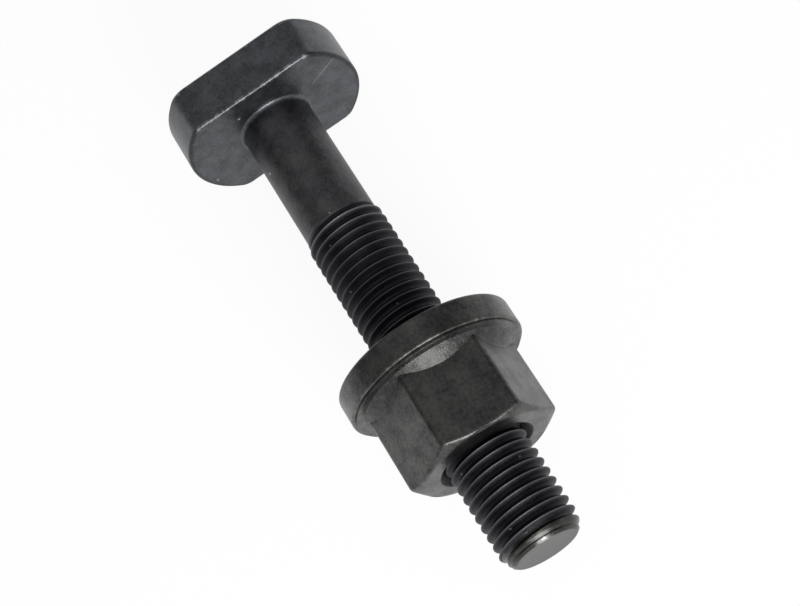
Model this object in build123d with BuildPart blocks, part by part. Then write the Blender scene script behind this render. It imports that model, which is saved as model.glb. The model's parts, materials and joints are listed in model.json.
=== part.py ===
from build123d import *

import os
from math import atan2, cos, isclose, pi, radians, sin, tan

# A forged T-slot bolt with a collar nut screwed half way up its thread. Both lie as they come to rest
# on a flat surface, on one flat of the head and the rim of the collar, so the bolt leans a few
# degrees, tip up. Millimetres, +X from the head to the tip, +Z up, and the origin on the surface
# under the middle of the part.

# ---- Driving sizes ----

# Head: a round disc with two parallel flats, which guide it in the slot
head_diameter = 37.2
head_across_flats = 27.5
head_thickness = 10.0
head_corner_radius = 3.0
head_edge_chamfer = 0.4

# Shank: rolled-thread blank, M16 coarse thread to the tip
bolt_length = 100.0  # from the bearing face of the head to the tip
shank_diameter = 14.5
under_head_fillet = 1.0
thread_diameter = 15.8  # over the crests
thread_length = 73.5
thread_run_out = 1.3
tip_chamfer = 1.2

# Nut: a hexagon that grows from a round collar through a conical shoulder
nut_position = 57.7  # from the bearing face of the head to the bearing face of the nut
nut_height = 22.3
nut_across_flats = 26.0
nut_turn = 12.5  # degrees between a flat of the nut and a flat of the head
nut_corner_radius = 1.5
collar_diameter = 35.2
collar_thickness = 5.3
collar_edge_chamfer = 0.4
rim_width = 0.7  # the narrow ledge around the collar's upper face
step_height = 0.5  # the turned step inside that ledge
shoulder_diameter = 30.6  # foot of the shoulder that runs up into the flats
shoulder_angle = 45.0  # degrees from the collar's face
shoulder_sink = 1.0  # how far inside the flats the shoulder's slope ends
shoulder_crown = 0.02  # how far its forged slope bulges from a straight cone
end_face_diameter = 25.0  # the round end face that the chamfer leaves
end_chamfer_angle = 25.0  # degrees from the end face
end_chamfer_crown = 0.02
mouth_diameter = 18.6  # countersinks at both ends of the bore
mouth_angle = 45.0  # degrees from the axis
thread_clearance = 0.1  # between the crests and the bore, radially

# ---- Sizes that follow ----

head_half_flats = head_across_flats / 2
shank_radius = shank_diameter / 2
thread_radius = thread_diameter / 2
thread_start = bolt_length - thread_length
tip_radius = thread_radius - tip_chamfer
collar_radius = collar_diameter / 2
bore_radius = thread_radius + thread_clearance
mouth_radius = mouth_diameter / 2
mouth_depth = (mouth_radius - bore_radius) / tan(radians(mouth_angle))
step_radius = collar_radius - rim_width
shoulder_radius = shoulder_diameter / 2
shoulder_foot = collar_thickness + step_height
shoulder_end_radius = nut_across_flats / 2 - shoulder_sink
shoulder_rise = (shoulder_radius - shoulder_end_radius) * tan(radians(shoulder_angle))
shoulder_top = shoulder_foot + shoulder_rise
hexagon_radius = nut_across_flats / 2 / cos(pi / 6)  # over sharp corners
end_radius = end_face_diameter / 2
chamfer_depth = (hexagon_radius - end_radius) * tan(radians(end_chamfer_angle))

# ---- Where it rests ----

# The surface touches the far edge of the head's lower flat and the collar's edge next to the grip.
head_touch = head_thickness - head_edge_chamfer
collar_touch = nut_position + collar_edge_chamfer
lean = atan2(collar_radius - head_half_flats, head_touch + collar_touch)
along = (cos(lean), 0, sin(lean))

# Centre of the bearing face of the head, which every station along the bolt is counted from
seat_height = head_touch * sin(lean) + head_half_flats * cos(lean)
far_end = head_thickness * cos(lean) + (head_half_flats - head_edge_chamfer) * sin(lean)
near_end = bolt_length * cos(lean) + tip_radius * sin(lean)
seat_centre = ((far_end - near_end) / 2, 0, seat_height)

head_seat = Plane(origin=seat_centre, x_dir=(0, 1, 0), z_dir=along)
nut_seat = head_seat.offset(nut_position)
bolt_axis = Axis(seat_centre, along)

# Half sections are drawn with x along the bolt and y outwards.
bolt_section = Plane(origin=seat_centre, x_dir=along, z_dir=(0, -1, 0))
nut_section = Plane(origin=nut_seat.origin, x_dir=along, z_dir=(0, -1, 0))

# ---- Bolt: head, shank and thread in one piece ----

with BuildPart() as bolt:
    with BuildSketch(head_seat.offset(-head_thickness)):
        Circle(head_diameter / 2)
        Rectangle(head_diameter, head_across_flats, mode=Mode.INTERSECT)
    extrude(amount=head_thickness)
    fillet(bolt.edges().filter_by(bolt_axis), head_corner_radius)
    ends = bolt.faces().filter_by(head_seat)
    chamfer(ends.edges(), head_edge_chamfer)

    with BuildSketch(bolt_section):
        with BuildLine():
            Polyline(
                (-head_thickness / 2, 0),
                (-head_thickness / 2, shank_radius),
                (thread_start - thread_run_out, shank_radius),
                (thread_start, thread_radius),
                (bolt_length - tip_chamfer, thread_radius),
                (bolt_length, tip_radius),
                (bolt_length, 0),
                close=True,
            )
        make_face()
    revolve(axis=bolt_axis)

    # The fillet where the shank meets the bearing face
    circles = bolt.edges().filter_by(GeomType.CIRCLE)
    neck = circles.filter_by(lambda edge: isclose(edge.radius, shank_radius)).sort_by(bolt_axis)[0]
    fillet(neck, under_head_fillet)

bolt.part.label = "t_slot_bolt"

# ---- Collar nut, in one piece ----

with BuildPart() as nut:
    # The hexagon, with its forged corners rounded
    with BuildSketch(nut_seat) as hexagon:
        RegularPolygon(nut_across_flats / 2, side_count=6, major_radius=False, rotation=-nut_turn)
        fillet(hexagon.vertices(), nut_corner_radius)
    extrude(amount=nut_height)

    # The free end is turned to a blunt cone, which leaves a round end face and arcs on the flats.
    with BuildSketch(nut_section):
        with BuildLine():
            blank = Polyline((0, 0), (0, hexagon_radius), (nut_height - chamfer_depth, hexagon_radius))
            cone = SagittaArc(blank @ 1, (nut_height, end_radius), end_chamfer_crown)
            Polyline(cone @ 1, (nut_height, 0), (0, 0))
        make_face()
    revolve(axis=bolt_axis, mode=Mode.INTERSECT)

    # The collar, its rim and step, and the shoulder that runs up into the flats
    with BuildSketch(nut_section):
        with BuildLine():
            rim = Polyline(
                (0, 0),
                (0, collar_radius - collar_edge_chamfer),
                (collar_edge_chamfer, collar_radius),
                (collar_thickness, collar_radius),
                (collar_thickness, step_radius),
                (shoulder_foot, step_radius),
                (shoulder_foot, shoulder_radius),
            )
            slope = SagittaArc(rim @ 1, (shoulder_top, shoulder_end_radius), shoulder_crown)
            Polyline(slope @ 1, (shoulder_top, 0), (0, 0))
        make_face()
    revolve(axis=bolt_axis)

    # The bore, countersunk at both ends
    with BuildSketch(nut_section):
        with BuildLine():
            Polyline(
                (0, 0),
                (0, mouth_radius),
                (mouth_depth, bore_radius),
                (nut_height - mouth_depth, bore_radius),
                (nut_height, mouth_radius),
                (nut_height, 0),
                close=True,
            )
        make_face()
    revolve(axis=bolt_axis, mode=Mode.SUBTRACT)

nut.part.label = "collar_nut"

# ---- One STEP file for each piece ----

os.makedirs("parts", exist_ok=True)
for piece in (bolt, nut):
    export_step(piece.part, f"parts/{piece.part.label}.step")
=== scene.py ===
"""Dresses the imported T-slot bolt and its collar nut for a product picture.

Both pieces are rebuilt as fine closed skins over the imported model: the head with softened edges, the
rolled thread as one continuous helical ridge, and the nut as a hexagon that grows from its turned collar.
Sizes are in millimetres and angles in radians unless a name or a comment says otherwise. A station is
measured along the bolt from the bearing face of its head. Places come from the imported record.
"""

import json
import logging
import math
from collections.abc import Callable, Mapping, Sequence
from dataclasses import dataclass, field
from enum import Enum

import bpy
from mathutils import Matrix, Vector


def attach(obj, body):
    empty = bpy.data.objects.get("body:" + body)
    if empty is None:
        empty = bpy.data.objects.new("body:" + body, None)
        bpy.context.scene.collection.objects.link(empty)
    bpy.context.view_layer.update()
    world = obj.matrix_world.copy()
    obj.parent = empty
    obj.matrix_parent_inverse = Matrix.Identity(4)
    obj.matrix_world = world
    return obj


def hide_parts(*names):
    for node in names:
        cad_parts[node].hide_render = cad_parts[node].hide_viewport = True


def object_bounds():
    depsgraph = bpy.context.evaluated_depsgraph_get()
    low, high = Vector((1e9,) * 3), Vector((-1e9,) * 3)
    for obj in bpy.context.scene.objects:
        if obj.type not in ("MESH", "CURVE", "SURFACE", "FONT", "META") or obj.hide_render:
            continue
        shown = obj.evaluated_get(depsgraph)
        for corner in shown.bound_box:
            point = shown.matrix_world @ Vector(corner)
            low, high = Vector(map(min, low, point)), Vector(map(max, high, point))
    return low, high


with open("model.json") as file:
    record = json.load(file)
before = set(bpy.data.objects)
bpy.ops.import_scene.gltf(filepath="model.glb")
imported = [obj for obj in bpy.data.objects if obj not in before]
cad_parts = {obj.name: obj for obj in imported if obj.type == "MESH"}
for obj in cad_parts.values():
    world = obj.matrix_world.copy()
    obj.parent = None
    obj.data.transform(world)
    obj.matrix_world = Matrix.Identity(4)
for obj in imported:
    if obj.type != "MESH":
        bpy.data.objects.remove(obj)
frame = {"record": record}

CAD_BOX = [list(corner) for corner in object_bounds()]

logging.basicConfig(level=logging.INFO, format="%(levelname)s %(message)s")
log = logging.getLogger("t_slot_bolt")

MM = 0.001
TURN = 2 * math.pi

Mounts = dict[str, dict]
Socket = bpy.types.NodeSocket
# Station, radius and wear.
SectionPoint = tuple[float, float, float]
# Across, up and the angle of the normal.
OutlinePoint = tuple[float, float, float]


# ---- Small helpers ----


def linear(colour: str) -> tuple[float, float, float, float]:
    """A written sRGB colour as the linear RGBA that shaders take.

    Args:
        colour: Six hexadecimal digits, with or without a leading hash.

    Returns:
        Red, green, blue and an alpha of 1.
    """
    digits = colour.lstrip("#")
    channels = [int(digits[i : i + 2], 16) / 255 for i in (0, 2, 4)]
    values = [c / 12.92 if c <= 0.04045 else ((c + 0.055) / 1.055) ** 2.4 for c in channels]
    return (values[0], values[1], values[2], 1.0)


def repeats(size_mm: float) -> float:
    """The texture scale at which one feature of a pattern is size_mm across."""
    return 1 / (size_mm * MM)


def eased(share: float) -> float:
    """A share held between 0 and 1 that starts and ends softly."""
    share = min(max(share, 0.0), 1.0)
    return share * share * (3 - 2 * share)


def bell(off: float, spread: float) -> float:
    """1 where off is zero, and almost nothing two spreads away."""
    return math.exp(-((off / spread) ** 2))


def middle_of(points: Sequence[Vector]) -> Vector:
    """The mean of some points."""
    return sum(points, Vector()) / len(points)


class Zone(Enum):
    """A part of a piece with a finish of its own. The value is its material slot."""


class BoltZone(Zone):
    """The bolt's finishes."""

    HEAD = 0
    SHANK = 1
    THREAD = 2
    END = 3


class NutZone(Zone):
    """The nut's finishes."""

    OUTSIDE = 0
    SHOULDER = 1
    BORE = 2


# ---- The bolt's own axes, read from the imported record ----


@dataclass(frozen=True)
class BoltAxes:
    """The bolt's axes: along it from the head, across it level with the flats, and up out of the upper flat.

    They meet at the seat, which is the middle of the head's bearing face.
    """

    seat: Vector
    along: Vector
    across: Vector
    up: Vector

    @classmethod
    def from_mounts(cls, mounts: Mounts) -> "BoltAxes":
        """Finds the axes from the faces that the record states as mounts.

        Args:
            mounts: The record's mounts by name.

        Returns:
            The axes, in metres in the row frame.
        """
        bearing = mounts["head_bearing_face"]
        upper, lower = mounts["head_guide_flat_upper"], mounts["head_guide_flat_lower"]
        along = Vector(bearing["axis"]).normalized()
        up = Vector(upper["axis"]).normalized()
        middle = (Vector(upper["pos_m"]) + Vector(lower["pos_m"])) / 2
        to_seat = (Vector(bearing["pos_m"]) - middle).dot(along)
        return cls(middle + along * to_seat, along, up.cross(along), up)

    def place(self, station: float, x: float, y: float) -> Vector:
        """A point in the row frame from millimetres along, across and up."""
        return self.seat + (self.along * station + self.across * x + self.up * y) * MM

    def station(self, point: Sequence[float]) -> float:
        """A point's station on the bolt."""
        return (Vector(point) - self.seat).dot(self.along) / MM

    def radius(self, point: Vector) -> float:
        """A point's distance from the bolt's axis."""
        return (point - self.place(self.station(point), 0, 0)).length / MM

    def angle(self, point: Vector) -> float:
        """A point's angle round the bolt's axis, from across towards up, at least zero."""
        arm = point - self.seat
        return math.atan2(arm.dot(self.up), arm.dot(self.across)) % TURN


# ---- Finishes ----


class Nodes:
    """A node tree that is filled one node at a time."""

    def __init__(self, tree: bpy.types.NodeTree) -> None:
        """Starts on an emptied node tree."""
        self.tree = tree
        tree.nodes.clear()

    def add(
        self, kind: str, inputs: dict | Sequence = (), output: str | int = 0, **settings: object
    ) -> Socket | None:
        """Adds a node with its settings and links.

        Args:
            kind: The node's type name, without ShaderNode.
            inputs: Values or output sockets, by the inputs' names or numbers or in their order.
            output: The output to hand back.
            settings: Attributes of the node itself.

        Returns:
            The chosen output socket, or None for a node without outputs.
        """
        node = self.tree.nodes.new("ShaderNode" + kind)
        for key, value in settings.items():
            setattr(node, key, value)
        for key, value in inputs.items() if isinstance(inputs, dict) else enumerate(inputs):
            if isinstance(value, Socket):
                self.tree.links.new(value, node.inputs[key])
            else:
                node.inputs[key].default_value = value
        return node.outputs[output] if node.outputs else None


@dataclass(frozen=True)
class Scratch:
    """A fine scratch on the bearing face of the head.

    A real one is about a twentieth of a millimetre wide, which is too fine to show, so it is drawn wider.

    Attributes:
        start: One end, across and up.
        end: The other end.
        width: How wide it is drawn.
        reach: How far before and behind the face it is looked for.
        bareness: How much bare metal it shows.
    """

    start: tuple[float, float]
    end: tuple[float, float]
    width: float = 0.22
    reach: float = 0.2
    bareness: float = 0.4

    def mask(self, nodes: Nodes, where: Socket, axes: BoltAxes) -> Socket:
        """Where the scratch bares the metal.

        Args:
            nodes: The material's nodes.
            where: The shaded point.
            axes: The bolt's axes.

        Returns:
            A socket with the share of bare metal.
        """
        first, last = axes.place(0, *self.start), axes.place(0, *self.end)
        way = (last - first).normalized()
        arm = nodes.add("VectorMath", (where, tuple((first + last) / 2)), operation="SUBTRACT")
        half_sizes = (
            (way, (last - first).length / 2),
            (way.cross(axes.along), self.width / 2 * MM),
            (axes.along, self.reach * MM),
        )
        inside: object = self.bareness
        for axis, half_size in half_sizes:
            off = nodes.add("VectorMath", (arm, tuple(axis)), "Value", operation="DOT_PRODUCT")
            off = nodes.add("Math", (off,), operation="ABSOLUTE")
            within = nodes.add("Math", (off, half_size), operation="LESS_THAN")
            inside = nodes.add("Math", (inside, within), operation="MULTIPLY")
        return inside


# How broken up each noise pattern is.
CLOUDS = {"Detail": 5, "Roughness": 0.55}
MOTTLE = {"Detail": 3, "Roughness": 0.55}
PATCHES = {"Detail": 6, "Roughness": 0.7}
GRAIN = {"Detail": 5, "Roughness": 0.6}
LATHE_MARKS = {"Detail": 2}
# The tone is wide clouds with a mottle over them, which is finer by this many times.
MOTTLE_FINENESS = 6
CLOUD_SHARE, MOTTLE_SHARE = 0.6, 0.4
# The tones that run from the dark colour to the light one, and from the least oil to the most.
TONE_RANGE = (0.38, 0.62)
# The tones between which the surface gets rougher, and the roughness there against the mean.
ROUGH_TONES = (0.3, 0.7)
SMOOTHER, ROUGHER = 0.05, 0.07
# Worn edges are bare in patches of this size, where wear times the patch's strength passes a mark.
PATCH_MM = 1.6
PATCH_RANGE = (0.25, 0.75)
WORN_FROM = 0.38
# Nicks stand one to a cell, about a tenth of the cell across. The edge is given in cells from the middle.
NICK_SPACING_MM = 4.5
NICK_EDGE = (0.045, 0.065)
# Real turning marks are about 0.1 mm apart and too fine to show, so they are drawn coarser.
LATHE_MARK_MM = 0.25
# Near black, painted where wear is below zero: painted shade along the edges of the head's arcs.
PAINTED_EDGE_SHADE = "#121213"
# Refraction of the oil's film.
OIL_IOR = 1.5


@dataclass(frozen=True)
class BlackOxide:
    """Black oxide on steel: a thin dark layer grown from the metal itself, often wiped with oil.

    The eye gets a soft dark gloss with a fine grain, slightly cloudy, and pale bare steel on worn edges and
    in small nicks. The steel's reflection and the oil's film over it are two layers of the shader.

    Attributes:
        name: The material's name.
        dark: Colour where the oxide is thickest.
        light: Colour where it is thinnest.
        bare: Colour of the bare steel.
        metal: How metallic the oxidised steel looks. A thick oxide is duller.
        roughness: Mean roughness of the steel and of the oil over it.
        cloud_mm: Size of a cloud in the tone.
        grain_mm: Size of a grain. A real one is 0.1 to 0.3 mm and too fine to show, so it is drawn larger.
        grain_depth: Height of the grains.
        oil: Mean share of the surface that shines with oil.
        oil_patches: How much that share rises and falls with the clouds.
        edge_wear: How bare the worn patches of the edges are.
        wear_fade: How softly those patches end.
        worn_roughness: How much rougher bare steel is than the oxide.
        worn_through: Above zero, wear bares the steel evenly, this much at full wear, and not in patches.
        specks: How bare the small nicks are.
        lathe_lines: Depth of turning marks against the grain's.
        scratches: Scratches that are placed one by one.
    """

    name: str
    dark: str
    light: str
    bare: str
    metal: float
    roughness: float
    cloud_mm: float
    grain_mm: float
    grain_depth: float
    oil: float = 0.0
    oil_patches: float = 0.0
    edge_wear: float = 0.0
    wear_fade: float = 0.2
    worn_roughness: float = 0.0
    worn_through: float = 0.0
    specks: float = 0.0
    lathe_lines: float = 0.0
    scratches: tuple[Scratch, ...] = ()

    def tone(self, nodes: Nodes, where: Socket) -> Socket:
        """The oxide's cloudy tone: wide clouds with a finer mottle over them.

        Args:
            nodes: The material's nodes.
            where: The shaded point.

        Returns:
            A socket with the tone, mostly within TONE_RANGE.
        """
        layers = []
        mottle_mm = self.cloud_mm / MOTTLE_FINENESS
        patterns = ((CLOUDS, self.cloud_mm, CLOUD_SHARE), (MOTTLE, mottle_mm, MOTTLE_SHARE))
        for pattern, size_mm, share in patterns:
            noise = nodes.add("TexNoise", {"Vector": where, "Scale": repeats(size_mm), **pattern})
            layers.append(nodes.add("Math", (noise, share), operation="MULTIPLY"))
        return nodes.add("Math", layers, operation="ADD")

    def bareness(self, nodes: Nodes, where: Socket, wear: Socket, axes: BoltAxes) -> Socket:
        """How much bare steel shows: in patches on worn edges, in small nicks and in scratches.

        Args:
            nodes: The material's nodes.
            where: The shaded point.
            wear: The wear there.
            axes: The bolt's axes.

        Returns:
            A socket with the share of bare steel.
        """
        if self.worn_through > 0:
            bare = nodes.add("Math", (wear, self.worn_through), operation="MULTIPLY")
        else:
            noise = nodes.add("TexNoise", {"Vector": where, "Scale": repeats(PATCH_MM), **PATCHES})
            patches = nodes.add("MapRange", (noise, *PATCH_RANGE, 0, 1))
            worn = nodes.add("Math", (wear, patches), operation="MULTIPLY")
            bare = nodes.add("MapRange", (worn, WORN_FROM, WORN_FROM + self.wear_fade, 0, self.edge_wear))
        if self.specks > 0:
            dots = nodes.add("TexVoronoi", {"Vector": where, "Scale": repeats(NICK_SPACING_MM)}, "Distance")
            dots = nodes.add("MapRange", (dots, *NICK_EDGE, self.specks, 0))
            bare = nodes.add("Math", (bare, dots), operation="MAXIMUM")
        for scratch in self.scratches:
            bare = nodes.add("Math", (bare, scratch.mask(nodes, where, axes)), operation="MAXIMUM")
        return bare

    def colour(self, nodes: Nodes, tone: Socket, bare: Socket, wear: Socket) -> Socket:
        """The colour: cloudy oxide, bare steel in it, and near black painted as shade where the wear is
        below zero.

        Args:
            nodes: The material's nodes.
            tone: The cloudy tone.
            bare: The share of bare steel.
            wear: The wear, which is below zero where shade is painted.

        Returns:
            A socket with the colour.
        """
        light = nodes.add("MapRange", (tone, *TONE_RANGE, 0, 1))
        # Where the wear is below zero, near black is mixed in: painted shade.
        painted_shade = nodes.add("Math", (wear, -1.0), operation="MULTIPLY", use_clamp=True)
        colour: object = linear(self.dark)
        for share, next_colour in ((light, self.light), (bare, self.bare), (painted_shade, PAINTED_EDGE_SHADE)):
            colour = nodes.add("Mix", {0: share, 6: colour, 7: linear(next_colour)}, 2, data_type="RGBA")
        return colour

    def relief(self, nodes: Nodes, where: Socket, axes: BoltAxes) -> Socket:
        """The fine relief of the surface: its grain, and turning marks across the bolt.

        Args:
            nodes: The material's nodes.
            where: The shaded point.
            axes: The bolt's axes.

        Returns:
            A socket with the normal.
        """
        height = nodes.add("TexNoise", {"Vector": where, "Scale": repeats(self.grain_mm), **GRAIN})
        if self.lathe_lines > 0:
            row = nodes.add("VectorMath", (where, tuple(axes.along)), "Value", operation="DOT_PRODUCT")
            pattern = {"W": row, "Scale": repeats(LATHE_MARK_MM), **LATHE_MARKS}
            marks = nodes.add("TexNoise", pattern, noise_dimensions="1D")
            marks = nodes.add("Math", (marks, self.lathe_lines), operation="MULTIPLY")
            height = nodes.add("Math", (height, marks), operation="ADD")
        return nodes.add("Bump", {"Height": height, "Distance": self.grain_depth * MM, "Strength": 1.0})

    def material(self, axes: BoltAxes) -> bpy.types.Material:
        """Builds the material.

        Args:
            axes: The bolt's axes, which its patterns follow.

        Returns:
            The material.
        """
        material = bpy.data.materials.new(self.name)
        material.use_nodes = True
        nodes = Nodes(material.node_tree)
        where = nodes.add("TexCoord", output="Object")
        wear = nodes.add("Attribute", output="Fac", attribute_name="wear")
        tone = self.tone(nodes, where)
        bare = self.bareness(nodes, where, wear, axes)
        normal = self.relief(nodes, where, axes)

        smoothest, roughest = self.roughness - SMOOTHER, self.roughness + ROUGHER
        rough = nodes.add("MapRange", (tone, *ROUGH_TONES, smoothest, roughest))
        worn = nodes.add("Math", (bare, self.worn_roughness), operation="MULTIPLY")
        least_oil = self.oil * (1 - self.oil_patches)
        most_oil = min(self.oil * (1 + self.oil_patches), 1.0)
        surface = {
            "Base Color": self.colour(nodes, tone, bare, wear),
            "Metallic": self.metal,
            "Roughness": nodes.add("Math", (rough, worn), operation="ADD"),
            "Normal": normal,
            "Coat Weight": nodes.add("MapRange", (tone, *TONE_RANGE, least_oil, most_oil)),
            "Coat Roughness": self.roughness,
            "Coat IOR": OIL_IOR,
            "Coat Normal": normal,
        }
        nodes.add("OutputMaterial", {"Surface": nodes.add("BsdfPrincipled", surface)})
        return material


BOLT_FINISHES = {
    # Forged and machined head: bluish grey satin with faint clouds. The edges of the flats are worn to a
    # pale broken line, and one scratch crosses the bearing face.
    BoltZone.HEAD: BlackOxide(
        "head_black_oxide",
        dark="#434549",
        light="#616569",
        bare="#c4c4bd",
        metal=0.95,
        roughness=0.38,
        cloud_mm=3,
        grain_mm=0.6,
        grain_depth=0.035,
        oil=0.4,
        oil_patches=0.1,
        edge_wear=0.6,
        wear_fade=0.3,
        worn_roughness=0.6,
        specks=0.95,
        scratches=(Scratch((10.0, 4.1), (16.5, 7.6)),),
    ),
    # Drawn shank: a darker and nearly dry satin, neutral grey, with a few bright nicks.
    BoltZone.SHANK: BlackOxide(
        "shank_black_oxide",
        dark="#414144",
        light="#5b5b5d",
        bare="#cfcfc8",
        metal=0.95,
        roughness=0.41,
        cloud_mm=3,
        grain_mm=0.6,
        grain_depth=0.06,
        oil=0.2,
        oil_patches=0.2,
        specks=0.9,
    ),
    # Rolled thread: thick dry oxide, near black and dull, with grey lines where the crests have rubbed.
    BoltZone.THREAD: BlackOxide(
        "thread_black_oxide",
        dark="#212126",
        light="#2e2e34",
        bare="#7f7f84",
        metal=0.8,
        roughness=0.5,
        cloud_mm=4,
        grain_mm=0.5,
        grain_depth=0.02,
        worn_through=0.65,
        specks=0.7,
    ),
    # Sheared and chamfered end: smoother than the rest, so it catches the light, with a bare lip that has a
    # glint painted as bare steel at its top.
    BoltZone.END: BlackOxide(
        "sheared_end_oxide",
        dark="#2a2b29",
        light="#3f403d",
        bare="#c4c5c0",
        metal=0.95,
        roughness=0.33,
        cloud_mm=2,
        grain_mm=0.5,
        grain_depth=0.02,
        oil=0.3,
        oil_patches=0.2,
        edge_wear=0.8,
        wear_fade=1.0,
    ),
}

NUT_FINISHES = {
    # Forged and turned nut: an oily, slightly warm dark gloss that comes and goes in clouds, with faint
    # turning marks and thin worn edges.
    NutZone.OUTSIDE: BlackOxide(
        "nut_black_oxide",
        dark="#303130",
        light="#4b4c49",
        bare="#a5a69f",
        metal=0.95,
        roughness=0.38,
        cloud_mm=4,
        grain_mm=0.6,
        grain_depth=0.05,
        oil=0.7,
        oil_patches=0.45,
        edge_wear=0.5,
        wear_fade=0.4,
        worn_roughness=0.3,
        lathe_lines=0.1,
    ),
    # Shoulder with its forged skin: a coarse grain that sparkles where it turns to the light.
    NutZone.SHOULDER: BlackOxide(
        "forged_shoulder_oxide",
        dark="#252625",
        light="#3f403e",
        bare="#a5a69f",
        metal=0.95,
        roughness=0.42,
        cloud_mm=1.5,
        grain_mm=1.1,
        grain_depth=0.13,
        oil=0.6,
        oil_patches=0.3,
        edge_wear=0.4,
    ),
    # Tapped bore and its countersunk mouths: dry oxide, flat and near black, which also paints shade inside
    # the mouths.
    NutZone.BORE: BlackOxide(
        "bore_oxide_and_mouth_shade",
        dark="#202122",
        light="#2a2b2a",
        bare="#8f908d",
        metal=0.95,
        roughness=0.5,
        cloud_mm=4,
        grain_mm=0.5,
        grain_depth=0.02,
        edge_wear=0.3,
    ),
}


# ---- Skins ----


@dataclass(frozen=True)
class Span:
    """A stretch of thread between two stations, with the limit of its radius at a station.

    Rows of the thread nearer than near to an end are joined to the end.
    """

    start: float
    end: float
    limit: Callable[[float, float], float]
    near: float = 0.01


@dataclass(frozen=True)
class Thread:
    """A metric thread: its pitch, where a crest meets the across axis, and one pitch of its section."""

    pitch: float
    phase: float
    section: tuple[SectionPoint, ...]

    @classmethod
    def rolled(cls, pitch: float, phase: float, crest: float, root: float) -> "Thread":
        """An outer thread with softly rounded crests and roots, most worn on its crests.

        Args:
            pitch: Distance between turns.
            phase: Station of a crest on the across axis.
            crest: Radius over the crests.
            root: Radius at the roots.

        Returns:
            The thread.
        """
        crest_flat, depth = pitch / 16, crest - root
        flank = depth * math.tan(math.radians(30))
        # From the middle of a crest over its rounding and down the flank to the start of the root.
        half = [
            (0.0, crest, 1.0),
            (0.5 * crest_flat, crest - 0.02, 0.7),
            (crest_flat, crest - 0.12, 0.25),
            (crest_flat + 0.3 * flank, crest - 0.42 * depth, 0.0),
            (crest_flat + 0.75 * flank, root + 0.2 * depth, 0.0),
            (0.38 * pitch, root + 0.04, 0.0),
        ]
        mirrored = [(pitch - offset, radius, wear) for offset, radius, wear in reversed(half[1:])]
        return cls(pitch, phase, (*half, (pitch / 2, root, 0.0), *mirrored))

    def grown(self, clearance: float, smallest: float) -> "Thread":
        """The inner thread that clears this one, no narrower than the smallest radius."""
        section = tuple((offset, max(r + clearance, smallest), 0.0) for offset, r, _ in self.section)
        return Thread(self.pitch, self.phase, section)


@dataclass(frozen=True)
class Corner:
    """A corner of a half section, with the radius that rounds it and how worn it is."""

    station: float
    radius: float
    rounding: float = 0.0
    wear: float = 0.0


def rounded(corners: Sequence[Corner], steps: int = 4) -> list[SectionPoint]:
    """Rounds the corners of an open half section.

    Args:
        corners: The corners, from one end of the section to the other.
        steps: Segments in each rounding.

    Returns:
        The points of the section.
    """
    spots = [Vector((corner.station, corner.radius)) for corner in corners]
    points: list[SectionPoint] = []
    for i, (here, corner) in enumerate(zip(spots, corners)):
        if corner.rounding <= 0 or i in (0, len(corners) - 1):
            points.append((corner.station, corner.radius, corner.wear))
            continue
        back, ahead = (spots[i - 1] - here).normalized(), (spots[i + 1] - here).normalized()
        reach = corner.rounding / math.tan(back.angle(ahead) / 2)
        centre = here + (back + ahead).normalized() * math.hypot(corner.rounding, reach)
        first, last = here + back * reach - centre, here + ahead * reach - centre
        for k in range(steps + 1):
            point = centre + first.slerp(last, k / steps).normalized() * corner.rounding
            points.append((point.x, point.y, corner.wear))
    return points


# Edges that turn by more than this are drawn crisp.
CRISP_FROM = math.radians(50)
# How much the wide faces hold the shading flat, where 50 favours none and 100 only them.
FLATNESS = 60


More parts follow.
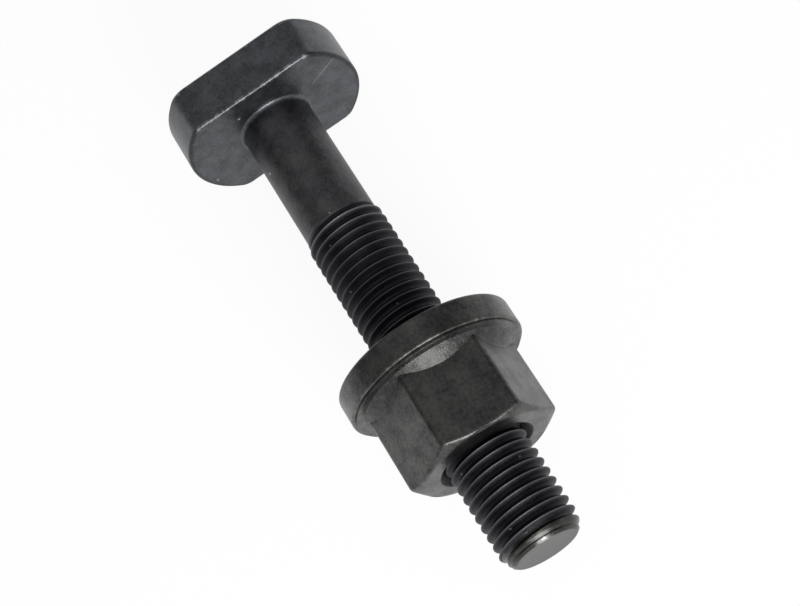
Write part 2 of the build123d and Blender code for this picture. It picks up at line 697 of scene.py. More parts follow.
class Skin:
    """One closed surface, gathered ring by ring, with a wear value at each point.

    Wear is 0 on sound oxide and 1 on a fully worn edge, and below zero where shade is painted.
    """

    def __init__(self, axes: BoltAxes) -> None:
        """Starts an empty skin.

        Args:
            axes: The bolt's axes, on which its points are placed.
        """
        self.axes = axes
        self.points: list[Vector] = []
        self.wear: list[float] = []
        self.faces: list[tuple[int, ...]] = []
        self.zones: list[int] = []

    def add(self, station: float, x: float, y: float, wear: float = 0.0) -> int:
        """Adds one point.

        Args:
            station: Its station.
            x: Millimetres across.
            y: Millimetres up.
            wear: Its wear.

        Returns:
            Its number.
        """
        self.points.append(self.axes.place(station, x, y))
        self.wear.append(wear)
        return len(self.points) - 1

    def add_turned(self, station: float, radius: float, angle: float, wear: float = 0.0) -> int:
        """Adds one point, given by its radius and angle, and returns its number."""
        return self.add(station, radius * math.cos(angle), radius * math.sin(angle), wear)

    def circle(self, station: float, radius: float, count: int, wear: float = 0.0) -> list[int]:
        """Adds an even ring of points and returns their numbers."""
        return [self.add_turned(station, radius, TURN * j / count, wear) for j in range(count)]

    def face(self, corners: Sequence[int], zone: Zone) -> None:
        """Adds a face, leaving out corners that fall together.

        Args:
            corners: The numbers of its points, anticlockwise from outside.
            zone: Its finish.
        """
        ring = [c for i, c in enumerate(corners) if c != corners[i - 1]]
        if len(set(ring)) == len(ring) and len(ring) > 2:
            self.faces.append(tuple(ring))
            self.zones.append(zone.value)

    def band(self, back: Sequence[int], front: Sequence[int], zone: Zone) -> None:
        """Joins two rings of as many points.

        Args:
            back: The ring nearer the head, when seen from outside.
            front: The other ring.
            zone: The finish of the new faces.
        """
        count = len(back)
        for j in range(count):
            k = (j + 1) % count
            self.face((back[j], back[k], front[k], front[j]), zone)

    def stitch(
        self, outer: Sequence[int], angles: Sequence[float], inner: Sequence[int], zone: Zone
    ) -> None:
        """Joins a ring to an even ring of another count with triangles, walking both by angle.

        Args:
            outer: The ring that comes first, seen as band sees it.
            angles: The angle of each of its points, rising from near zero.
            inner: The even ring, which starts at angle zero.
            zone: The finish of the new faces.
        """
        a, b, outer_count, inner_count = 0, 0, len(outer), len(inner)
        while a < outer_count or b < inner_count:
            next_outer = angles[a + 1] if a + 1 < outer_count else angles[0] + TURN
            next_inner = TURN * (b + 1) / inner_count
            here, there = outer[a % outer_count], inner[b % inner_count]
            if b >= inner_count or (a < outer_count and next_outer <= next_inner):
                a += 1
                self.face((here, outer[a % outer_count], there), zone)
            else:
                b += 1
                self.face((here, inner[b % inner_count], there), zone)

    def helix(
        self, thread: Thread, start: Sequence[int], end: Sequence[int], span: Span, zone: Zone
    ) -> None:
        """Fills the surface between two even rings with rows that follow a thread.

        Args:
            thread: The thread.
            start: The ring at the start of the span.
            end: The ring at its end.
            span: The stretch that is filled.
            zone: The finish of the new faces.
        """
        count, steps = len(start), len(thread.section)
        # A spare turn at each end lets every column reach both rings.
        first = math.floor((span.start - thread.phase) / thread.pitch) - 2
        last = math.ceil((span.end - thread.phase) / thread.pitch) + 1
        rows = [(turn, step) for turn in range(first, last + 1) for step in range(steps)]
        columns: list[list[int]] = []
        for j in range(count):
            column = []
            for turn, step in rows:
                offset, radius, wear = thread.section[step]
                station = thread.phase + thread.pitch * (turn + j / count) + offset
                if station <= span.start + span.near:
                    column.append(start[j])
                elif station >= span.end - span.near:
                    column.append(end[j])
                else:
                    radius = span.limit(station, radius)
                    column.append(self.add_turned(station, radius, TURN * j / count, wear))
            columns.append(column)
        # The last column meets the first one a whole turn further on.
        columns.append(columns[0][steps:] + [end[0]] * steps)
        for here, there in zip(columns, columns[1:]):
            for i in range(len(rows) - 1):
                self.face((here[i], there[i], there[i + 1], here[i + 1]), zone)

    def disc(self, ring: Sequence[int], station: float, zone: Zone, from_front: bool) -> None:
        """Closes a ring with a fan to a point on the axis.

        Args:
            ring: The ring.
            station: Station of the point.
            zone: The finish of the new faces.
            from_front: Whether the disc is seen from the bolt's tip.
        """
        centre = self.add(station, 0, 0)
        for here, there in zip(ring, (*ring[1:], ring[0])):
            self.face((here, there, centre) if from_front else (there, here, centre), zone)

    def lining(self) -> "Skin":
        """A skin on the same points without faces, for faces that are seen from the other side.

        Returns:
            The empty skin.
        """
        lining = Skin(self.axes)
        lining.points, lining.wear = self.points, self.wear
        return lining

    def take(self, lining: "Skin") -> None:
        """Takes over a lining's faces, turned to their right side."""
        self.faces += [tuple(reversed(corners)) for corners in lining.faces]
        self.zones += lining.zones

    def repaint(self, old: Zone, new: Zone, belongs: Callable[[list[Vector]], bool]) -> None:
        """Gives faces of one finish another one.

        Args:
            old: The finish that they have.
            new: The finish that they get.
            belongs: Whether a face with these corners gets it.
        """
        for i, corners in enumerate(self.faces):
            if self.zones[i] == old.value and belongs([self.points[c] for c in corners]):
                self.zones[i] = new.value

    def build(self, name: str, finishes: Mapping[Zone, BlackOxide]) -> bpy.types.Object:
        """Makes the Blender object, smooth over its small roundings and crisp elsewhere, and dresses it.

        Args:
            name: The piece's name.
            finishes: The finish of each zone.

        Returns:
            The piece.
        """
        mesh = bpy.data.meshes.new(name)
        mesh.from_pydata(self.points, [], self.faces)
        mesh.polygons.foreach_set("material_index", self.zones)
        wear = mesh.attributes.new("wear", "FLOAT", "POINT")
        wear.data.foreach_set("value", self.wear)
        mesh.validate()
        mesh.update()
        mesh.shade_smooth()
        mesh.set_sharp_from_angle(angle=CRISP_FROM)
        for zone in sorted(finishes, key=lambda zone: zone.value):
            mesh.materials.append(finishes[zone].material(self.axes))
        piece = bpy.data.objects.new(name, mesh)
        bpy.context.scene.collection.objects.link(piece)
        weighted = piece.modifiers.new("even_shading", "WEIGHTED_NORMAL")
        weighted.keep_sharp = True
        weighted.weight = FLATNESS
        return piece


# ---- The bolt ----


@dataclass(frozen=True)
class HeadWear:
    """How wear is spread round the head's edges, by the angle that they face.

    The flats' edges are worn bare and their ends most of all. The arcs' edges fall below zero, where
    near-black shade is painted.

    Attributes:
        flats: Wear of the flats' edges.
        narrowness: How sharply it keeps to the flats.
        ends: Further wear near the flats' ends.
        end_at: Cosine of the angle of that wear.
        end_spread: Its spread in the cosine.
        arcs: How much is taken off all round.
    """

    flats: float = 1.5
    narrowness: int = 8
    ends: float = 1.2
    end_at: float = 0.3
    end_spread: float = 0.16
    arcs: float = 0.7

    def share(self, angle: float) -> float:
        """The share of an edge's wear where its normal points at an angle."""
        ends = self.ends * bell(abs(math.cos(angle)) - self.end_at, self.end_spread)
        return self.flats * abs(math.sin(angle)) ** self.narrowness + ends - self.arcs


@dataclass(frozen=True)
class Head:
    """The forged head: round, cut to two flats, with corners that get rounder towards its back.

    Attributes:
        half_flats: Half the width across the flats.
        radius: Radius of the arcs.
        thickness: From the back to the bearing face.
        corner_radius: Rounding between flat and arc at the bearing face.
        back_corner_radius: The same at the back.
        back_edge: Rounding of the back edge.
        bearing_edge: Rounding of the bearing face's edge.
        back_fade: How far the back edge's wear fades over the back.
        side_fade: How far it fades over the side.
        bearing_fade: How far the bearing edge's wear fades both ways.
        back_wear: Wear of the back edge.
        bearing_wear: Wear of the bearing edge.
        spread: How that wear is spread round the head.
        arc_steps: Segments in half an arc.
        corner_steps: Segments in a corner.
        flat_steps: Segments in half a flat.
        edge_steps: Segments across an edge's rounding.
    """

    half_flats: float
    radius: float = 18.6
    thickness: float = 10.0
    corner_radius: float = 3.0
    back_corner_radius: float = 5.0
    back_edge: float = 1.0
    bearing_edge: float = 0.5
    back_fade: float = 1.2
    side_fade: float = 0.3
    bearing_fade: float = 0.45
    back_wear: float = 0.8
    bearing_wear: float = 1.0
    spread: HeadWear = HeadWear()
    arc_steps: int = 24
    corner_steps: int = 7
    flat_steps: int = 12
    edge_steps: int = 4

    @classmethod
    def from_mounts(cls, mounts: Mounts) -> "Head":
        """Takes the width across the flats from the record's mounts."""
        upper, lower = mounts["head_guide_flat_upper"], mounts["head_guide_flat_lower"]
        return cls((Vector(upper["pos_m"]) - Vector(lower["pos_m"])).length / 2 / MM)

    def outline(self, station: float) -> list[OutlinePoint]:
        """Points round the head at a station.

        Args:
            station: Zero at the bearing face and below zero towards the back.

        Returns:
            The points, from angle zero.
        """
        taper = (self.back_corner_radius - self.corner_radius) / self.thickness
        corner = self.corner_radius - station * taper
        height = self.half_flats - corner
        half_width = math.sqrt((self.radius - corner) ** 2 - height**2)
        turn = math.atan2(height, half_width)
        quarter = []
        for k in range(self.arc_steps):
            t = turn * k / self.arc_steps
            quarter.append((self.radius * math.cos(t), self.radius * math.sin(t), t))
        for k in range(self.corner_steps + 1):
            t = turn + (TURN / 4 - turn) * k / self.corner_steps
            quarter.append((half_width + corner * math.cos(t), height + corner * math.sin(t), t))
        for k in range(1, self.flat_steps + 1):
            quarter.append((half_width * (1 - k / self.flat_steps), self.half_flats, TURN / 4))
        top = quarter + [(-x, y, TURN / 2 - t) for x, y, t in reversed(quarter[:-1])]
        return top + [(x, -y, TURN - t) for x, y, t in reversed(top[1:-1])]

    def angles(self) -> list[float]:
        """The angles of the bearing face's outline points."""
        return [math.atan2(y, x) % TURN for x, y, _ in self.outline(0.0)]

    def ring(self, skin: Skin, station: float, inset: float, wear: float = 0.0) -> list[int]:
        """Adds a copy of the outline, moved inwards along its normals.

        Args:
            skin: The skin that gets it.
            station: Its station.
            inset: How far it is moved.
            wear: Its wear, before that is spread.

        Returns:
            The numbers of its points.
        """
        return [
            skin.add(station, x - inset * math.cos(t), y - inset * math.sin(t), wear * self.spread.share(t))
            for x, y, t in self.outline(station)
        ]

    def build(self, skin: Skin) -> list[int]:
        """Adds the head, from its back to its bearing face.

        Args:
            skin: The skin that gets it.

        Returns:
            The last ring, on the bearing face.
        """
        back = -self.thickness
        quarter = [TURN / 4 * k / self.edge_steps for k in range(self.edge_steps + 1)]
        rings = [self.ring(skin, back, self.back_edge + self.back_fade)]
        for t in reversed(quarter):
            rise, inset = self.back_edge * (1 - math.sin(t)), self.back_edge * (1 - math.cos(t))
            rings.append(self.ring(skin, back + rise, inset, self.back_wear))
        rings.append(self.ring(skin, back + self.back_edge + self.side_fade, 0.0))
        rings.append(self.ring(skin, -self.bearing_edge - self.bearing_fade, 0.0))
        for t in quarter:
            rise, inset = self.bearing_edge * (1 - math.sin(t)), self.bearing_edge * (1 - math.cos(t))
            rings.append(self.ring(skin, -rise, inset, self.bearing_wear))
        rings.append(self.ring(skin, 0.0, self.bearing_edge + self.bearing_fade))
        skin.disc(rings[0], back, BoltZone.HEAD, from_front=False)
        for behind, ahead in zip(rings, rings[1:]):
            skin.band(behind, ahead, BoltZone.HEAD)
        return rings[-1]


@dataclass
class Bolt:
    """The forged bolt: its head, its shank and its rolled thread in one piece.

    Attributes:
        axes: The bolt's axes.
        head: Its head.
        length: From the bearing face to the tip.
        shank_radius: Radius of the plain shank.
        neck_fillet: Fillet between the head and the shank.
        neck_margin: Width of the plain ring on the bearing face round the fillet.
        shank_rings: Stations of the rings along the shank.
        crest_radius: Radius over the thread's crests.
        root_radius: Radius at its roots.
        pitch: Distance between its turns.
        phase: Station of a crest on the across axis.
        run_out_start: Where the thread starts to rise out of the shank.
        run_out_end: Where it is at full height.
        first_groove: How far past the start the first groove begins.
        worn_turns: Turns of the thread that are worn more than the rest.
        worn_more: How much more the first of them is worn.
        tip_chamfer: How much the chamfer takes off the radius.
        tip_reach: How far back the chamfer goes.
        tip_margin: How far behind the chamfer its finish starts.
        lip_width: Distance from the lip's groove to the tip.
        lip_groove: Radius in the lip's groove.
        groove_slope: How far the surface runs down into the groove.
        lip_step: Length of the lip's first step.
        lip_rise: Height of that step.
        face_inset: How far the end face's edge is inside the chamfered radius.
        tip_rounding: Rounding of that edge.
        dish: Share of the end's radius, and depth, of each ring of the slightly hollow end face.
        painted_glint_angle: Where a glint is painted on the end's edge as bare steel: a painted highlight.
        painted_glint_spread: Half the angle that the painted glint takes up.
        painted_glint_wear: How much more worn than the edge the painted glint is drawn.
        count: Points in a ring.
        neck_steps: Segments in the fillet.
    """

    axes: BoltAxes
    head: Head
    length: float = 100.0
    shank_radius: float = 7.25
    neck_fillet: float = 0.8
    neck_margin: float = 0.4
    shank_rings: tuple[float, ...] = (1.4, 12.0)
    crest_radius: float = 7.9
    root_radius: float = 6.85
    pitch: float = 2.0
    phase: float = 0.243
    run_out_start: float = 26.5
    run_out_end: float = 28.7
    first_groove: float = 0.4
    worn_turns: float = 3.5
    worn_more: float = 3.6
    tip_chamfer: float = 1.4
    tip_reach: float = 2.5
    tip_margin: float = 0.15
    lip_width: float = 0.6
    lip_groove: float = 6.6
    groove_slope: float = 0.5
    lip_step: float = 0.12
    lip_rise: float = 0.16
    face_inset: float = 0.4
    tip_rounding: float = 0.5
    dish: tuple[tuple[float, float], ...] = ((0.86, 0.0), (0.6, 0.03), (0.3, 0.05))
    # A glint painted as bare steel at the top of the end's edge: a painted highlight.
    painted_glint_angle: float = math.radians(80)
    painted_glint_spread: float = 0.16
    painted_glint_wear: float = 6.0
    count: int = 120
    neck_steps: int = 8
    thread: Thread = field(init=False)
    tip_radius: float = field(init=False)

    def __post_init__(self) -> None:
        """Works out the thread's section and the chamfered radius of the tip."""
        self.thread = Thread.rolled(self.pitch, self.phase, self.crest_radius, self.root_radius)
        self.tip_radius = self.crest_radius - self.tip_chamfer

    def limited(self, station: float, radius: float) -> float:
        """The thread's radius where it runs out, at the chamfer and at the lip's groove.

        Args:
            station: A station on the thread.
            radius: The thread's own radius there.

        Returns:
            The radius that the bolt has.
        """
        grown = eased((station - self.run_out_start) / (self.run_out_end - self.run_out_start))
        depth = self.length - station
        cone = self.tip_radius + depth * self.tip_chamfer / self.tip_reach
        radius = min(self.shank_radius + (radius - self.shank_radius) * grown, cone)
        share = eased((depth - self.lip_width) / self.groove_slope)
        return self.lip_groove + (radius - self.lip_groove) * share

    def before_groove(self, corners: list[Vector]) -> bool:
        """Whether a face lies before the thread's first groove, which follows the helix.

        Args:
            corners: The face's corners.

        Returns:
            True where it does.
        """
        middle = middle_of(corners)
        groove = self.run_out_start + self.first_groove + self.pitch * self.axes.angle(middle) / TURN
        return self.axes.station(middle) < groove

    def on_tip(self, corners: list[Vector]) -> bool:
        """Whether a face lies wholly on the chamfered tip."""
        start = self.length - self.tip_reach - self.tip_margin
        return all(self.axes.station(corner) > start for corner in corners)

    def add_shank(self, skin: Skin, bearing: list[int]) -> list[int]:
        """Adds the bearing face's middle, the neck and the shank.

        Args:
            skin: The skin that gets them.
            bearing: The head's last ring.

        Returns:
            The ring where the thread starts.
        """
        neck, foot = self.neck_fillet, self.shank_radius + self.neck_fillet
        previous = skin.circle(0.0, foot + self.neck_margin, self.count)
        skin.stitch(bearing, self.head.angles(), previous, BoltZone.HEAD)
        section = []
        for k in range(self.neck_steps + 1):
            t = TURN / 4 * k / self.neck_steps
            section.append((neck * (1 - math.cos(t)), foot - neck * math.sin(t)))
        section += [(station, self.shank_radius) for station in (*self.shank_rings, self.run_out_start)]
        for station, radius in section:
            ring = skin.circle(station, radius, self.count)
            skin.band(previous, ring, BoltZone.HEAD if station < neck else BoltZone.SHANK)
            previous = ring
        return previous

    def add_thread(self, skin: Skin, start: list[int]) -> list[int]:
        """Adds the thread and the chamfer, and wears the thread's first turns.

        Args:
            skin: The skin that gets them.
            start: The ring where the thread starts.

        Returns:
            The ring in the lip's groove.
        """
        end = self.length - self.lip_width
        groove = skin.circle(end, self.lip_groove, self.count)
        span = Span(self.run_out_start, end, self.limited)
        skin.helix(self.thread, start, groove, span, BoltZone.THREAD)
        for i, point in enumerate(skin.points):
            turns = (self.axes.station(point) - self.run_out_start) / self.pitch
            if 0 < turns < self.worn_turns:
                skin.wear[i] *= 1 + self.worn_more * (1 - turns / self.worn_turns) ** 2
        skin.repaint(BoltZone.THREAD, BoltZone.SHANK, self.before_groove)
        skin.repaint(BoltZone.THREAD, BoltZone.END, self.on_tip)
        return groove

    def add_end(self, skin: Skin, previous: list[int]) -> None:
        """Adds the lip, with a glint painted on its edge as bare steel, and the end face.

        Args:
            skin: The skin that gets them.
            previous: The ring in the lip's groove.
        """
        start, face = self.length - self.lip_width, self.tip_radius - self.face_inset
        section = rounded(
            [
                Corner(start, self.lip_groove),
                Corner(start + self.lip_step, self.lip_groove + self.lip_rise, rounding=0.06, wear=0.2),
                Corner(self.length, face, rounding=self.tip_rounding, wear=0.6),
                Corner(self.length, 0.0),
            ]
        )
        for station, radius, wear in section[1:-1]:
            ring = skin.circle(station, radius, self.count, wear)
            # A glint is painted at the edge's top as extra wear that shows bare steel: a painted highlight.
            for j, point in enumerate(ring):
                away = TURN * j / self.count - self.painted_glint_angle
                skin.wear[point] += self.painted_glint_wear * wear * bell(away, self.painted_glint_spread)
            skin.band(previous, ring, BoltZone.END)
            previous = ring
        for share, depth in self.dish:
            ring = skin.circle(self.length - depth, self.tip_radius * share, self.count)
            skin.band(previous, ring, BoltZone.END)
            previous = ring
        skin.disc(previous, self.length - self.dish[-1][1], BoltZone.END, from_front=True)

    def build(self, finishes: Mapping[Zone, BlackOxide]) -> bpy.types.Object:
        """Builds the whole bolt and dresses it.

        Args:
            finishes: The finish of each zone.

        Returns:
            The piece.
        """
        skin = Skin(self.axes)
        start = self.add_shank(skin, self.head.build(skin))
        self.add_end(skin, self.add_thread(skin, start))
        return skin.build("forged_bolt", finishes)


# ---- The nut ----


@dataclass
class Nut:
    """The collar nut: hexagon, shoulder, turned collar and threaded bore in one piece.

    Attributes:
        axes: The bolt's axes.
        seat: Station of its bearing face.
        half_flats: Half the width across its flats.
        turn: The angle that one of its flats faces.
        bolt_thread: The thread that it runs on.
        height: Its height in all.
        corner_radius: Rounding of the hexagon's corners.
        collar_radius: Radius of the collar.
        collar_thickness: Thickness of the collar's rim.
        rim_width: Width of the low rim round the collar's front.
        step_height: Height of the step inside the rim.
        shoulder_radius: Radius at the foot of the shoulder.
        shoulder_height: How far up from its foot the shoulder is looked for.
        end_radius: Radius of the flat end.
        end_slope: Slope of the chamfer round the end.
        mouth_radius: Radius of the bore's mouths.
        mouth_break: Size of the broken edge round a mouth.
        mouth_wear: Wear of that edge.
        thread_clearance: Room between the two threads.
        minor_radius: The bore's smallest radius.
        fade: How far an edge's wear fades over the face beside it.
        collar_fade: The same from the collar's front edge over its side.
        rim_fade: The same across the rim.
        shoulder_fade: How far beside the shoulder's top edge its rounding is held.
        mouth_margin: Width of the plain ring round the mouth in the bearing face.
        end_margin: The same in the flat end.
        count: Points in a ring of the bore.
        flat_steps: Segments in a flat.
        corner_steps: Segments in a corner.
    """

    axes: BoltAxes
    seat: float
    half_flats: float
    turn: float
    bolt_thread: Thread
    height: float = 22.3
    corner_radius: float = 1.5
    collar_radius: float = 17.6
    collar_thickness: float = 5.3
    rim_width: float = 0.7
    step_height: float = 0.5
    shoulder_radius: float = 15.3
    shoulder_height: float = 4.0
    end_radius: float = 12.5
    end_slope: float = math.tan(math.radians(25))
    mouth_radius: float = 9.3
    mouth_break: float = 0.15
    mouth_wear: float = 0.6
    thread_clearance: float = 0.1
    minor_radius: float = 6.95
    fade: float = 0.8
    collar_fade: float = 0.6
    rim_fade: float = 0.2
    shoulder_fade: float = 0.35
    mouth_margin: float = 0.8
    end_margin: float = 0.5
    count: int = 120
    flat_steps: int = 22
    corner_steps: int = 6

    @classmethod
    def from_mounts(cls, mounts: Mounts, axes: BoltAxes, bolt_thread: Thread) -> "Nut":
        """Takes the nut's place, turn and width from the record's mounts.

        Args:
            mounts: The record's mounts by name.
            axes: The bolt's axes.
            bolt_thread: The thread that it runs on.

        Returns:
            The nut.
        """
        flat = mounts["wrench_flat"]
        normal = Vector(flat["axis"])
        half_flats = (Vector(flat["pos_m"]) - axes.seat).dot(normal) / MM
        turn = math.atan2(normal.dot(axes.up), normal.dot(axes.across))
        return cls(axes, axes.station(mounts["nut_bearing_face"]["pos_m"]), half_flats, turn, bolt_thread)

    def corner_angle(self) -> float:
        """The angle at the axis between a corner and the end of the flat beside it."""
        arm = (self.half_flats - self.corner_radius) * math.tan(TURN / 12)
        return TURN / 12 - math.atan(arm / self.half_flats)

    def angles(self) -> list[float]:
        """Angles round the nut, close together at the hexagon's corners.

        Returns:
            The angles, rising from near zero.
        """
        half, corner = TURN / 12, self.corner_angle()
        angles = []
        for side in range(6):
            middle = self.turn + side * TURN / 6
            for k in range(self.flat_steps + 1):
                angles.append(middle + (2 * k / self.flat_steps - 1) * (half - corner))
            for k in range(1, self.corner_steps):
                angles.append(middle + half - corner + 2 * corner * k / self.corner_steps)
        return sorted(angle % TURN for angle in angles)

    def hexagon(self, angle: float) -> float:
        """Radius of the hexagon with its rounded corners.

        Args:
            angle: An angle round the bolt's axis.

        Returns:
            The distance from the axis to the hexagon's side there.
        """
        half = TURN / 12
        off = (angle - self.turn + half) % (TURN / 6) - half
        swing = half - abs(off)
        flat = self.half_flats / math.cos(off)
        if swing >= self.corner_angle():
            return flat
        arm = (self.half_flats - self.corner_radius) / math.cos(half)
        square = self.corner_radius**2 - (arm * math.sin(swing)) ** 2
        return min(flat, arm * math.cos(swing) + math.sqrt(max(square, 0.0)))

    def section(self, angle: float) -> list[SectionPoint]:
        """The half section at an angle.

        Args:
            angle: An angle round the bolt's axis.

        Returns:
            Its points, from the bearing face round the outside to the free end.
        """
        side = self.hexagon(angle)
        collar, foot = self.collar_thickness, self.collar_thickness + self.step_height
        rim = self.collar_radius - self.rim_width
        shoulder = foot + self.shoulder_radius - side
        chamfer = self.height - (side - self.end_radius) * self.end_slope
        return rounded(
            [
                Corner(0.0, self.mouth_radius + self.mouth_margin),
                Corner(0.0, self.collar_radius - self.fade),
                Corner(0.0, self.collar_radius, rounding=0.45, wear=0.7),
                Corner(self.fade, self.collar_radius),
                Corner(collar - self.collar_fade, self.collar_radius),
                Corner(collar, self.collar_radius, rounding=0.4, wear=0.8),
                Corner(collar, rim + self.rim_fade, wear=0.6),
                Corner(collar, rim),
                Corner(foot, rim, rounding=0.08),
                Corner(foot, self.shoulder_radius, rounding=0.25),
                Corner(shoulder - self.shoulder_fade, side + self.shoulder_fade),
                Corner(shoulder, side, rounding=0.25),
                Corner(shoulder + self.shoulder_fade, side),
                Corner(chamfer - self.fade, side),
                Corner(chamfer, side, rounding=0.9, wear=0.5),
                Corner(self.height, self.end_radius, rounding=2.0, wear=0.1),
                Corner(self.height, self.mouth_radius + self.end_margin),
            ]
        )

    def limited(self, station: float, radius: float) -> float:
        """The bore's radius, opened by the countersinks at both ends.

        Args:
            station: A station in the bore.
            radius: The thread's own radius there.

        Returns:
            The radius that the bore has.
        """
        depth = min(station - self.seat, self.seat + self.height - station)
        return max(radius, self.mouth_radius - depth)

    def on_shoulder(self, corners: list[Vector]) -> bool:
        """Whether a face lies on the slope between the collar's step and the flats.

        Args:
            corners: The face's corners.

        Returns:
            True where it does.
        """
        middle = middle_of(corners)
        above_foot = self.axes.station(middle) - self.seat - self.collar_thickness - self.step_height
        radius = self.axes.radius(middle)
        slack, off_flat = 0.05, 0.12
        inside = -slack < above_foot < self.shoulder_height and radius < self.shoulder_radius + slack
        return inside and radius - self.hexagon(self.axes.angle(middle)) > off_flat

    def build(self, finishes: Mapping[Zone, BlackOxide]) -> bpy.types.Object:
        """Builds the whole nut and dresses it.

        Args:
            finishes: The finish of each zone.

        Returns:
            The piece.
        """
        skin = Skin(self.axes)
        angles = self.angles()
        sections = [self.section(angle) for angle in angles]
        rings = []
        for points in zip(*sections):
            ring = []
            for angle, (station, radius, wear) in zip(angles, points):
                ring.append(skin.add_turned(self.seat + station, radius, angle, wear))
            rings.append(ring)
        for behind, ahead in zip(rings, rings[1:]):
            skin.band(behind, ahead, NutZone.OUTSIDE)
        skin.repaint(NutZone.OUTSIDE, NutZone.SHOULDER, self.on_shoulder)

        top, lip = self.seat + self.height, self.mouth_break
        wide, narrow = self.mouth_radius + lip, self.mouth_radius - lip
        front = skin.circle(top, wide, self.count, self.mouth_wear)
        skin.stitch(rings[-1], angles, front, NutZone.OUTSIDE)
        end = skin.circle(top - lip, narrow, self.count, self.mouth_wear)
        # The countersunk mouths take the bore's near-black finish: its dry oxide, and painted shade in them.
        skin.band(front, end, NutZone.BORE)
        back = skin.circle(self.seat, wide, self.count, self.mouth_wear)
        start = skin.circle(self.seat + lip, narrow, self.count, self.mouth_wear)
        skin.band(start, back, NutZone.BORE)

        lining = skin.lining()
        lining.stitch(rings[0], angles, back, NutZone.OUTSIDE)
        inner = self.bolt_thread.grown(self.thread_clearance, self.minor_radius)
        lining.helix(inner, start, end, Span(self.seat + lip, top - lip, self.limited), NutZone.BORE)
        skin.take(lining)
        return skin.build("collar_nut_skin", finishes)


# ---- Table, lights and camera ----


@dataclass(frozen=True)
class WhiteLaminate:
    """Matt white laminate: the eye gets plain white with a faint soft shadow under the part.

    Attributes:
        colour: The table's own colour, on which the shadow falls.
        white: Strength of the plain white that the table is seen as.
        seen_white: Share of that white where the camera sees the table, straight or through a clear part.
        mirrored_white: How much of that share is left where the steel mirrors the table.
    """

    colour: str = "#f2f2f2"
    white: float = 1.035
    seen_white: float = 0.9
    mirrored_white: float = 0.6

    def material(self) -> bpy.types.Material:
        """Builds the material.

        Returns:
            The material.
        """
        material = bpy.data.materials.new("white_laminate")
        material.use_nodes = True
        nodes = Nodes(material.node_tree)
        straight = nodes.add("LightPath", output="Is Camera Ray")
        through = nodes.add("LightPath", output="Is Transmission Ray")
        seen = nodes.add("Math", (straight, through), operation="MAXIMUM")
        in_metal = (nodes.add("LightPath", output="Is Glossy Ray"), self.mirrored_white)
        mirrored = nodes.add("Math", in_metal, operation="MULTIPLY")
        share = nodes.add("Math", (seen, mirrored), operation="MAXIMUM")
        share = nodes.add("Math", (share, self.seen_white), operation="MULTIPLY")
        plain = nodes.add("BsdfDiffuse", {"Color": linear(self.colour)})
        glow = nodes.add("Emission", {"Color": linear("#ffffff"), "Strength": self.white})
        nodes.add("OutputMaterial", {"Surface": nodes.add("MixShader", (share, plain, glow))})
        return material


@dataclass(frozen=True)
class Studio:
    """A white table under a pale horizon, with a dim band over that, a soft ceiling and one lamp in front.

    Attributes:
        middle: The middle of the part, in metres.
        table_size: Side of the table, in metres.
        table_finish: The finish of the table.
        horizon: Strength of the sky at the horizon.
        horizon_top: Height at which it has fallen to the dim band, as the sine of the elevation.
        dim_band: Strength of the band between the horizon and the ceiling.
        ceiling: Strength of the sky overhead.
        ceiling_rise: Heights between which the sky rises to that.
    """

    middle: Vector
    table_size: float = 4.0
    table_finish: WhiteLaminate = WhiteLaminate()
    horizon: float = 1.05
    horizon_top: float = 0.2
    dim_band: float = 0.2
    ceiling: float = 0.56
    ceiling_rise: tuple[float, float] = (0.6, 0.9)

    def table(self) -> None:
        """Lays a white table that keeps a faint shadow."""
        half = self.table_size / 2
        corners = [(-half, -half, 0), (half, -half, 0), (half, half, 0), (-half, half, 0)]
        mesh = bpy.data.meshes.new("table")
        mesh.from_pydata(corners, [], [(0, 1, 2, 3)])
        mesh.materials.append(self.table_finish.material())
        table = bpy.data.objects.new("table", mesh)
        bpy.context.scene.collection.objects.link(table)

    def world(self) -> None:
        """Surrounds the scene with a pale horizon, a dim band over it and a soft ceiling."""
        world = bpy.data.worlds.new("studio_tent")
        bpy.context.scene.world = world
        world.use_nodes = True
        nodes = Nodes(world.node_tree)
        way = nodes.add("TexCoord", output="Generated")
        height = nodes.add("SeparateXYZ", (way,), "Z")
        low = nodes.add("MapRange", (height, 0.0, self.horizon_top, self.horizon, self.dim_band))
        high = nodes.add("MapRange", (height, *self.ceiling_rise, self.dim_band, self.ceiling))
        strength = nodes.add("Math", (low, high), operation="MAXIMUM")
        sky = nodes.add("Background", {"Color": linear("#ffffff"), "Strength": strength})
        nodes.add("OutputWorld", {"Surface": sky})

    def lamp(
        self, name: str, azimuth: float, elevation: float, distance: float, size: float, power: float
    ) -> None:
        """Adds one soft square lamp that faces the part.

        Args:
            name: The lamp's name.
            azimuth: Degrees from +X towards +Y.
            elevation: Degrees above the table.
            distance: Metres from the part.
            size: Side of the square in metres.
            power: Watts.
        """
        light = bpy.data.lights.new(name, "AREA")
        light.size = size
        light.energy = power
        lamp = bpy.data.objects.new(name, light)
        a, e = math.radians(azimuth), math.radians(elevation)
        way = Vector((math.cos(e) * math.cos(a), math.cos(e) * math.sin(a), math.sin(e)))
        lamp.location = self.middle + way * distance
        lamp.rotation_euler = way.to_track_quat("Z", "Y").to_euler()
        bpy.context.scene.collection.objects.link(lamp)

    def build(self) -> None:
        """Builds the table, the surroundings and the lamp."""
        self.table()
        self.world()
        self.lamp("front_softbox", azimuth=4, elevation=25, distance=0.7, size=0.3, power=4.1)


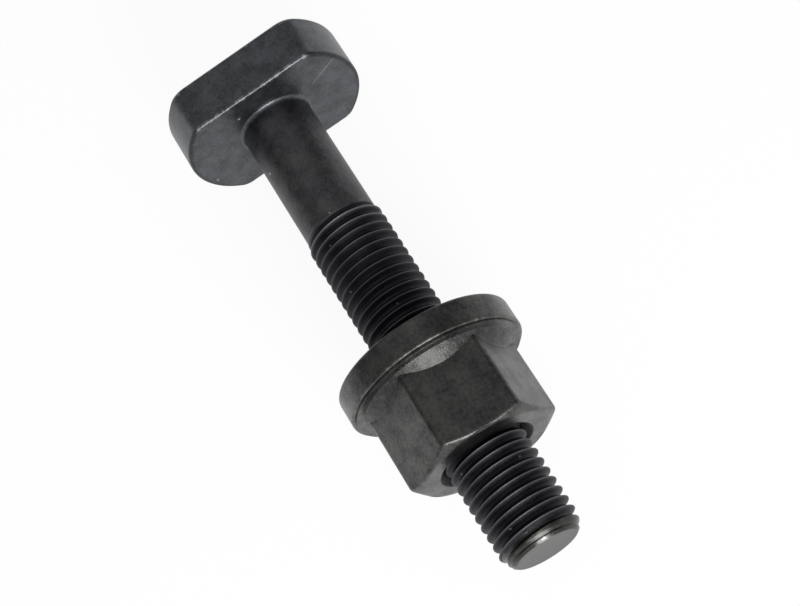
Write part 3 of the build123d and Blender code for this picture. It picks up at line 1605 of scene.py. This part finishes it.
@dataclass(frozen=True)
class Viewpoint:
    """The camera, rolled about its line of sight.

    Attributes:
        place: Where it stands in the row frame, in millimetres.
        target: What it points at, in millimetres.
        roll: Its roll in degrees.
        lens: Its focal length in millimetres.
        sensor: Width of its film in millimetres.
        nearest: The nearest that it sees, in metres.
    """

    place: tuple[float, float, float] = (111.50, 21.29, 305.44)
    target: tuple[float, float, float] = (1.68, 1.40, 16.81)
    roll: float = 43.77
    lens: float = 76.05
    sensor: float = 36.0
    nearest: float = 0.01

    def build(self) -> None:
        """Makes the camera and gives it to the scene."""
        data = bpy.data.cameras.new("view")
        data.lens = self.lens
        data.sensor_width = self.sensor
        data.sensor_fit = "HORIZONTAL"
        data.clip_start = self.nearest
        camera = bpy.data.objects.new("view", data)
        bpy.context.scene.collection.objects.link(camera)
        place, target = Vector(self.place) * MM, Vector(self.target) * MM
        ahead = (target - place).normalized()
        level = ahead.cross(Vector((0, 0, 1))).normalized()
        upright = level.cross(ahead)
        angle = math.radians(self.roll)
        up = upright * math.cos(angle) + level * math.sin(angle)
        turn = Matrix((ahead.cross(up), up, -ahead)).transposed()
        camera.matrix_world = Matrix.Translation(place) @ turn.to_4x4()
        bpy.context.scene.camera = camera


# ---- The whole picture ----


def main() -> None:
    """Builds the pieces and the studio, in order."""
    mounts = {mount["name"]: mount for mount in frame["record"]["mounts"]}
    axes = BoltAxes.from_mounts(mounts)

    bolt = Bolt(axes, Head.from_mounts(mounts))
    forged_bolt = bolt.build(BOLT_FINISHES)
    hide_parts("t_slot_bolt")
    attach(forged_bolt, "bolt")
    log.info("forged_bolt: %d faces", len(forged_bolt.data.polygons))

    nut = Nut.from_mounts(mounts, axes, bolt.thread)
    collar_nut = nut.build(NUT_FINISHES)
    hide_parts("collar_nut")
    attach(collar_nut, "nut")
    log.info("collar_nut_skin: %d faces", len(collar_nut.data.polygons))

    low, high = (Vector(corner) for corner in CAD_BOX)
    Studio(middle=(low + high) / 2).build()
    log.info("studio: table, sky and lamp")
    Viewpoint().build()
    log.info("view: camera")
    bpy.context.scene.view_settings.view_transform = "Standard"


if __name__ == "__main__":
    main()
